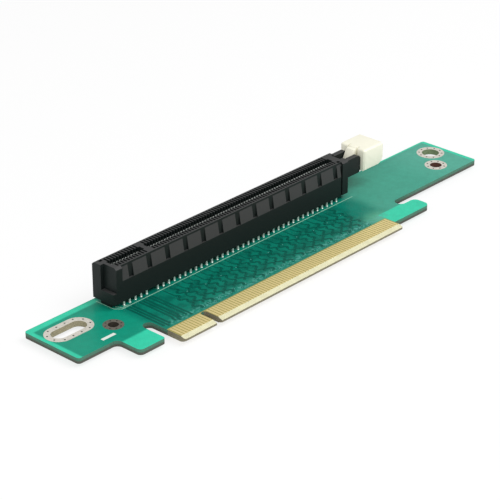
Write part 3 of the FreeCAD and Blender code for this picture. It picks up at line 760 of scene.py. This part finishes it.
class RISER_OT_vias(bpy.types.Operator):
    """Set the vias of the signal field and the stitching holes of the mounting lands"""
    bl_idname = "riser.vias"
    bl_label = "Set Vias"
    # Millimetres: hole, radius of its ring of stitching holes, and their number.
    stitch_rings = [("right_large_hole", 3.3, 10), ("right_small_hole", 2.5, 8),
                    ("left_hole", 2.1, 8)]
    # Stitching holes from the left slot's centre: along its sides, across its ends, how far out.
    side_holes, side_reach = (-4.15, -1.35, 1.45, 4.15), 3.1
    end_holes, end_reach = (-1.3, 1.3), 6.0
    # Hole, how far its slot travels, its radius and its land's radius.
    underside_lands = [
        ("left_slot", 6.3 * MM, 2.2 * MM, 3.95 * MM),
        ("right_large_hole", 0.0, 2.5 * MM, 4.05 * MM),
        ("right_small_hole", 0.0, 1.7 * MM, 3.25 * MM),
        ("left_hole", 0.0, 1.4 * MM, 2.7 * MM),
    ]
    land_gap, land_points, hole_points = 0.1 * MM, 32, 8
    # How far rings and fills stand up, as shares of their thickness.
    ring_rise, fill_rise = 0.6, 0.8
    # Contacts with a via; each row's start behind the fingers and its shift; the far row's side.
    via_contacts = range(13, COUNT - 4, 2)
    near_row, far_row, far_side = (1.1, 1.5), (9.8, 0.9), 0.9

    def field_places(self):
        """Uneven rows of vias behind the fingers, and a few by the socket."""
        places = []
        for number in self.via_contacts:
            x = position_x(number)
            shift = uneven(number, 5, 7) / 6.0
            nearest, spread = self.near_row
            places.append((x, FINGER_BACK + (nearest + spread * shift) * MM))
            if number % 3 == 0:
                nearest, spread = self.far_row
                places.append((x + self.far_side * MM,
                               FINGER_BACK + (nearest + spread * shift) * MM))
        return places

    def ring_places(self, x, y, radius, count, travel=0.0):
        """Places round a hole, or round a slot whose two ends are that travel apart."""
        turns = [2 * math.pi * (step + 0.5) / count for step in range(count)]
        return [(x + math.copysign(travel / 2, math.cos(turn)) + radius * math.cos(turn),
                 y + radius * math.sin(turn)) for turn in turns]

    def slot_places(self, x, y):
        """Holes round the slotted land."""
        sides = (self.side_reach, -self.side_reach)
        ends = (-self.end_reach, self.end_reach)
        offsets = [(along, side) for along in self.side_holes for side in sides]
        offsets += [(end, across) for across in self.end_holes for end in ends]
        return [(x + along * MM, y + across * MM) for along, across in offsets]

    def execute(self, context):
        sizes = context.scene.riser_traces
        metal = context.scene.riser_metal
        look = context.scene.riser_board
        ring = grained_material("via_ring", look.trace_dark, look.roughness, specular=look.specular)
        filled = grained_material("via_fill", look.mask_pale_teal, look.roughness,
                                  specular=look.specular)
        # Painted shade: dark discs stand for the shade inside the stitching holes.
        dark = grained_material("stitching_hole", metal.painted_hole_shade, roughness=0.7)
        thickness = sizes.thickness
        places = self.field_places()
        grow_studs("via_rings", places, TOP + self.ring_rise * thickness, "solder_mask", ring,
                   sizes.via_radius, thickness)
        grow_studs("via_fills", places, TOP + self.fill_rise * thickness, "solder_mask", filled,
                   sizes.via_hole, thickness, sides=self.hole_points)
        stitches = self.slot_places(*hole_place("left_slot"))
        for hole, radius, count in self.stitch_rings:
            stitches += self.ring_places(*hole_place(hole), radius * MM, count)
        # The stitching holes are dark discs of painted shade on the lands.
        grow_studs("stitching_holes", stitches, LANDS_HIGH.z, "tinned_copper", dark,
                   sizes.stitch_radius, thickness, sides=self.hole_points)
        land = grained_material("underside_land", metal.land, LAND_ROUGHNESS, LAND_METALLIC,
                                size=LAND_GRAIN, contrast=LAND_CONTRAST)
        height = BOARD_LOW.z - thickness / 2
        for index, (hole, travel, inner, outer) in enumerate(self.underside_lands):
            path = self.ring_places(*hole_place(hole), (inner + outer) / 2, self.land_points,
                                    travel)
            grow_tracks("underside_land_" + str(index + 1), [path + path[:1]], height,
                        "tinned_copper", land, outer - inner - self.land_gap, thickness, 0.0)
        return {"FINISHED"}


class RISER_OT_print(bpy.types.Operator):
    """Print the plain outline round the socket"""
    bl_idname = "riser.print"
    bl_label = "Print Outline"
    # Millimetres from the socket's left, right and front to the outline.
    left_inset, right_inset, front_gap = 0.7, 4.7, 0.75
    # From the outline's corner: its start, which is behind the rows' middle, chamfer and step.
    start_side, start_back = -0.2, 3.3
    chamfer = [(0.0, 1.6), (1.4, 0.0)]
    step = [(1.0, 2.2), (2.0, 0.5), (4.0, 0.5)]

    def execute(self, context):
        sizes = context.scene.riser_traces
        look = context.scene.riser_board
        ink = grained_material("print_ink", look.ink, roughness=0.6, size=0.4 * MM, contrast=0.35)
        left = HOUSING_LOW.x + self.left_inset * MM
        right = HOUSING_HIGH.x - self.right_inset * MM
        front = HOUSING_LOW.y - self.front_gap * MM
        chamfer, step = ([(left + x * MM, front + y * MM) for x, y in points]
                         for points in (self.chamfer, self.step))
        outline = [(left + self.start_side * MM, ROW_Y + self.start_back * MM), *chamfer,
                   (right, front)]
        grow_tracks("socket_outline", [outline, step], TOP + sizes.thickness / 2, "solder_mask",
                    ink, sizes.print_width, sizes.thickness, 0.0)
        return {"FINISHED"}


class RISER_OT_metal(bpy.types.Operator):
    """Plate the fingers, contacts and lands, and round off the solder joints"""
    bl_idname = "riser.metal"
    bl_label = "Plate Metal"
    # The round lower tip of a joint, and the foot, tip and height of a front fillet.
    joint_tip = 0.16 * MM
    fillet_foot, fillet_tip, fillet_height = 0.36 * MM, 0.22 * MM, 0.12 * MM
    land_bump = 0.15
    dull_area = (LEFT + 14.4, BACK - 17.0, LEFT + 20.5, BACK - 10.5)

    def paint_all(self, start, material):
        """Gives one finish to all the nodes whose names start alike."""
        paint([name for name in sorted(frame["nodes"]) if name.startswith(start)], material)

    def row_places(self, low, high, first):
        """Every second contact from the first one on, in the middle of its row."""
        y = (low.y + high.y) / 2
        return [(position_x(number), y) for number in range(first, COUNT + 1, 2)]

    def execute(self, context):
        metal = context.scene.riser_metal
        gold = grained_material("finger_gold", metal.gold, roughness=0.36, metallic=0.60,
                                size=0.5 * MM, contrast=0.14)
        self.paint_all("fingers", gold)
        contact = grained_material("contact_metal", metal.contact, roughness=0.34,
                                   metallic=0.45, size=0.2 * MM, contrast=0.25)
        self.paint_all("contacts", contact)
        solder = grained_material("solder_metal", metal.solder, roughness=0.30, metallic=0.9)
        self.paint_all("solder", solder)
        material, tree, shader, place = blank_material("tinned_copper", metallic=LAND_METALLIC)
        shader.inputs["Roughness"].default_value = LAND_ROUGHNESS
        dull = area_mask(tree, place, self.dull_area, 0.05)
        grain_on(tree, shader, place, LAND_GRAIN, LAND_CONTRAST,
                 blend(tree, dull, metal.land, metal.dull_land), self.land_bump)
        paint(["mounting_lands"], material)
        for side in ("front", "back"):
            for row, first in (("outer", 2), ("inner", 1)):
                node = "solder_" + side + "_" + row
                low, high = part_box(node)
                joint = grow_studs(node + "_joints", self.row_places(low, high, first), low.z,
                                   "solder_metal", solder, self.joint_tip, high.z - low.z,
                                   tip=(high.y - low.y) / 2)
                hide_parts(node)
        low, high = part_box("solder_front_outer")
        fillet = grained_material("fillet_metal", metal.fillet, roughness=0.40, metallic=0.5)
        grow_studs("front_fillets", self.row_places(low, high, 2), TOP, "solder_metal", fillet,
                   self.fillet_foot, self.fillet_height, tip=self.fillet_tip)
        return {"FINISHED"}


class RISER_OT_mouldings(bpy.types.Operator):
    """Give the black socket and the cream latch their finish, and round the latch's edges"""
    bl_idname = "riser.mouldings"
    bl_label = "Finish Mouldings"
    merge_distance = 0.001 * MM
    flat_angle = math.radians(1.0)
    round_steps = 3
    # Heights of the normal from which the painted light on faces that look up starts and is full:
    # the ramps and top are painted lighter, as if lit from above.
    texture_from, texture_full = 0.02, 0.14
    socket_contrast, socket_spread, latch_contrast = 0.35, 0.08, 0.03

    def round_latch(self, radius, finish):
        """Latch with rounded edges, in place of the CAD one."""
        shape = bmesh.new()
        shape.from_mesh(frame["nodes"]["card_latch"].data)
        bmesh.ops.remove_doubles(shape, verts=shape.verts, dist=self.merge_distance)
        bmesh.ops.dissolve_limit(shape, angle_limit=self.flat_angle, verts=shape.verts,
                                 edges=shape.edges)
        sharp = [edge for edge in shape.edges
                 if edge.is_manifold and edge.calc_face_angle() > SHARP_ANGLE]
        bmesh.ops.bevel(shape, geom=sharp, offset=radius, segments=self.round_steps,
                        profile=0.5, affect="EDGES", clamp_overlap=True)
        bmesh.ops.triangulate(shape, faces=shape.faces)
        mesh = bpy.data.meshes.new("rounded_latch")
        shape.to_mesh(mesh)
        shape.free()
        smooth(mesh)
        mesh.materials.append(finish)
        latch = add_object("rounded_latch", mesh)
        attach(latch, "latch")
        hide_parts("card_latch")

    def execute(self, context):
        look = context.scene.riser_plastic
        material, tree, shader, place = blank_material("socket_plastic",
                                                       specular=look.socket_specular)
        # Painted light: faces that look up are painted lighter than upright ones, as if lit from
        # above.
        ramps = upward_mask(tree, self.texture_from, self.texture_full)
        tint = blend(tree, ramps, look.socket, look.socket_top)
        grain = grain_on(tree, shader, place, look.grain, self.socket_contrast, tint, FINE_BUMP)
        vary_roughness(tree, shader, grain, look.socket_roughness, self.socket_spread)
        paint(["socket_housing"], material)
        cream = grained_material("latch_plastic", look.latch, look.latch_roughness,
                                 size=look.grain, contrast=self.latch_contrast)
        paint(["card_latch"], cream)
        self.round_latch(look.latch_round, cream)
        return {"FINISHED"}


class RISER_OT_stage(bpy.types.Operator):
    """Set the camera, soft lamps, surroundings and the pale floor"""
    bl_idname = "riser.stage"
    bl_label = "Set Stage"
    # The point that the camera looks at, in millimetres.
    look_at = (-8.404, 4.888, 2.6)
    sensor_width, clip_start = 36.0, 0.01
    floor_reach, floor_drop, glow_share = 4.0, 0.05 * MM, 0.78
    # Name, place, size in metres, and the setting with its power.
    lamps = [("key_lamp", (0.25, -0.45, 0.75), (0.7, 0.5), "key"),
             ("fill_lamp", (-0.6, -0.25, 0.45), (0.5, 0.5), "fill")]

    def pale_surface(self, name, tint):
        """Surface that looks pale to the camera and in reflections, and keeps a soft shadow."""
        material = bpy.data.materials.new(name)
        tree, surface = blank_tree(material, "ShaderNodeOutputMaterial")
        matt = add_node(tree, "ShaderNodeBsdfDiffuse", color=rgba(tint))
        glow = add_node(tree, "ShaderNodeEmission", color=WHITE, strength=1.0)
        rays = tree.nodes.new("ShaderNodeLightPath")
        seen = rays.outputs["Is Camera Ray"]
        for kind in ("Is Glossy Ray", "Is Transmission Ray"):
            seen = calculate(tree, "MAXIMUM", seen, rays.outputs[kind])
        share = calculate(tree, "MULTIPLY", seen, self.glow_share)
        mix = tree.nodes.new("ShaderNodeMixShader")
        for target, source in zip(mix.inputs, (share, matt.outputs[0], glow.outputs[0])):
            tree.links.new(source, target)
        tree.links.new(mix.outputs[0], surface)
        return material

    def set_camera(self, look, target):
        """Camera at its bearing, height and distance from the target."""
        level = math.cos(look.elevation)
        back = Vector((-math.sin(look.azimuth) * level, -math.cos(look.azimuth) * level,
                       math.sin(look.elevation)))
        data = bpy.data.cameras.new("camera")
        data.lens = look.lens
        data.sensor_width = self.sensor_width
        data.clip_start = self.clip_start
        camera = add_object("camera", data)
        camera.location = target + back * look.distance
        camera.rotation_euler = (-back).to_track_quat("-Z", "Y").to_matrix().to_4x4().to_euler()
        camera.rotation_euler.rotate_axis("Z", -look.roll)
        bpy.context.scene.camera = camera

    def set_floor(self, look):
        """Wide floor just under the part."""
        mesh = bpy.data.meshes.new("floor")
        reach = self.floor_reach
        mesh.from_pydata([(-reach, -reach, 0), (reach, -reach, 0), (reach, reach, 0),
                          (-reach, reach, 0)], [], [(0, 1, 2, 3)])
        floor = add_object("floor", mesh)
        floor.location.z = -self.floor_drop
        mesh.materials.append(self.pale_surface("floor", look.floor))

    def set_lamp(self, name, place, target, size, watts):
        """Soft lamp that shines at the target."""
        data = bpy.data.lights.new(name, "AREA")
        data.shape = "RECTANGLE"
        data.size, data.size_y = size
        data.energy = watts
        lamp = add_object(name, data)
        lamp.location = place
        lamp.rotation_euler = (target - Vector(place)).to_track_quat("-Z", "Y").to_euler()

    def set_world(self, look):
        """White to the camera, and dimmer as a source of light."""
        world = bpy.data.worlds.new("surroundings")
        tree, surface = blank_tree(world, "ShaderNodeOutputWorld")
        seen = tree.nodes.new("ShaderNodeLightPath").outputs["Is Camera Ray"]
        glow = add_node(tree, "ShaderNodeBackground", color=WHITE,
                        strength=blend(tree, seen, look.ambient, 1.0, kind="FLOAT"))
        tree.links.new(glow.outputs[0], surface)
        bpy.context.scene.world = world

    def execute(self, context):
        look = context.scene.riser_stage
        target = Vector(self.look_at) * MM
        self.set_camera(look, target)
        self.set_floor(look)
        for name, place, size, setting in self.lamps:
            self.set_lamp(name, place, target, size, getattr(look, setting))
        self.set_world(look)
        context.scene.view_settings.view_transform = "Standard"
        return {"FINISHED"}


OPERATORS = [RISER_OT_board, RISER_OT_traces, RISER_OT_vias, RISER_OT_print, RISER_OT_metal,
             RISER_OT_mouldings, RISER_OT_stage]


class RISER_PT_panel(bpy.types.Panel):
    """Finishes of the riser card"""
    bl_label = "Riser Card"
    bl_idname = "RISER_PT_panel"
    bl_space_type = "VIEW_3D"
    bl_region_type = "UI"
    bl_category = "Riser"

    def draw(self, context):
        """One button for each step, then the settings."""
        for operator in OPERATORS:
            self.layout.operator(operator.bl_idname)
        for name, look in LOOKS.items():
            box = self.layout.box()
            box.label(text=look.__doc__)
            for setting in look.__annotations__:
                box.prop(getattr(context.scene, name), setting)


def register():
    """Adds the settings, operators and panel."""
    for look in LOOKS.values():
        bpy.utils.register_class(look)
    for name, look in LOOKS.items():
        setattr(bpy.types.Scene, name, PointerProperty(type=look))
    for operator in OPERATORS:
        bpy.utils.register_class(operator)
    bpy.utils.register_class(RISER_PT_panel)


def unregister():
    """Takes them away again."""
    bpy.utils.unregister_class(RISER_PT_panel)
    for operator in reversed(OPERATORS):
        bpy.utils.unregister_class(operator)
    for name in LOOKS:
        delattr(bpy.types.Scene, name)
    for look in LOOKS.values():
        bpy.utils.unregister_class(look)


def main():
    """Registers the settings, steps and panel, then runs every step."""
    register()
    for operator in OPERATORS:
        group, name = operator.bl_idname.split(".")
        getattr(getattr(bpy.ops, group), name)()


if __name__ == "__main__":
    main()
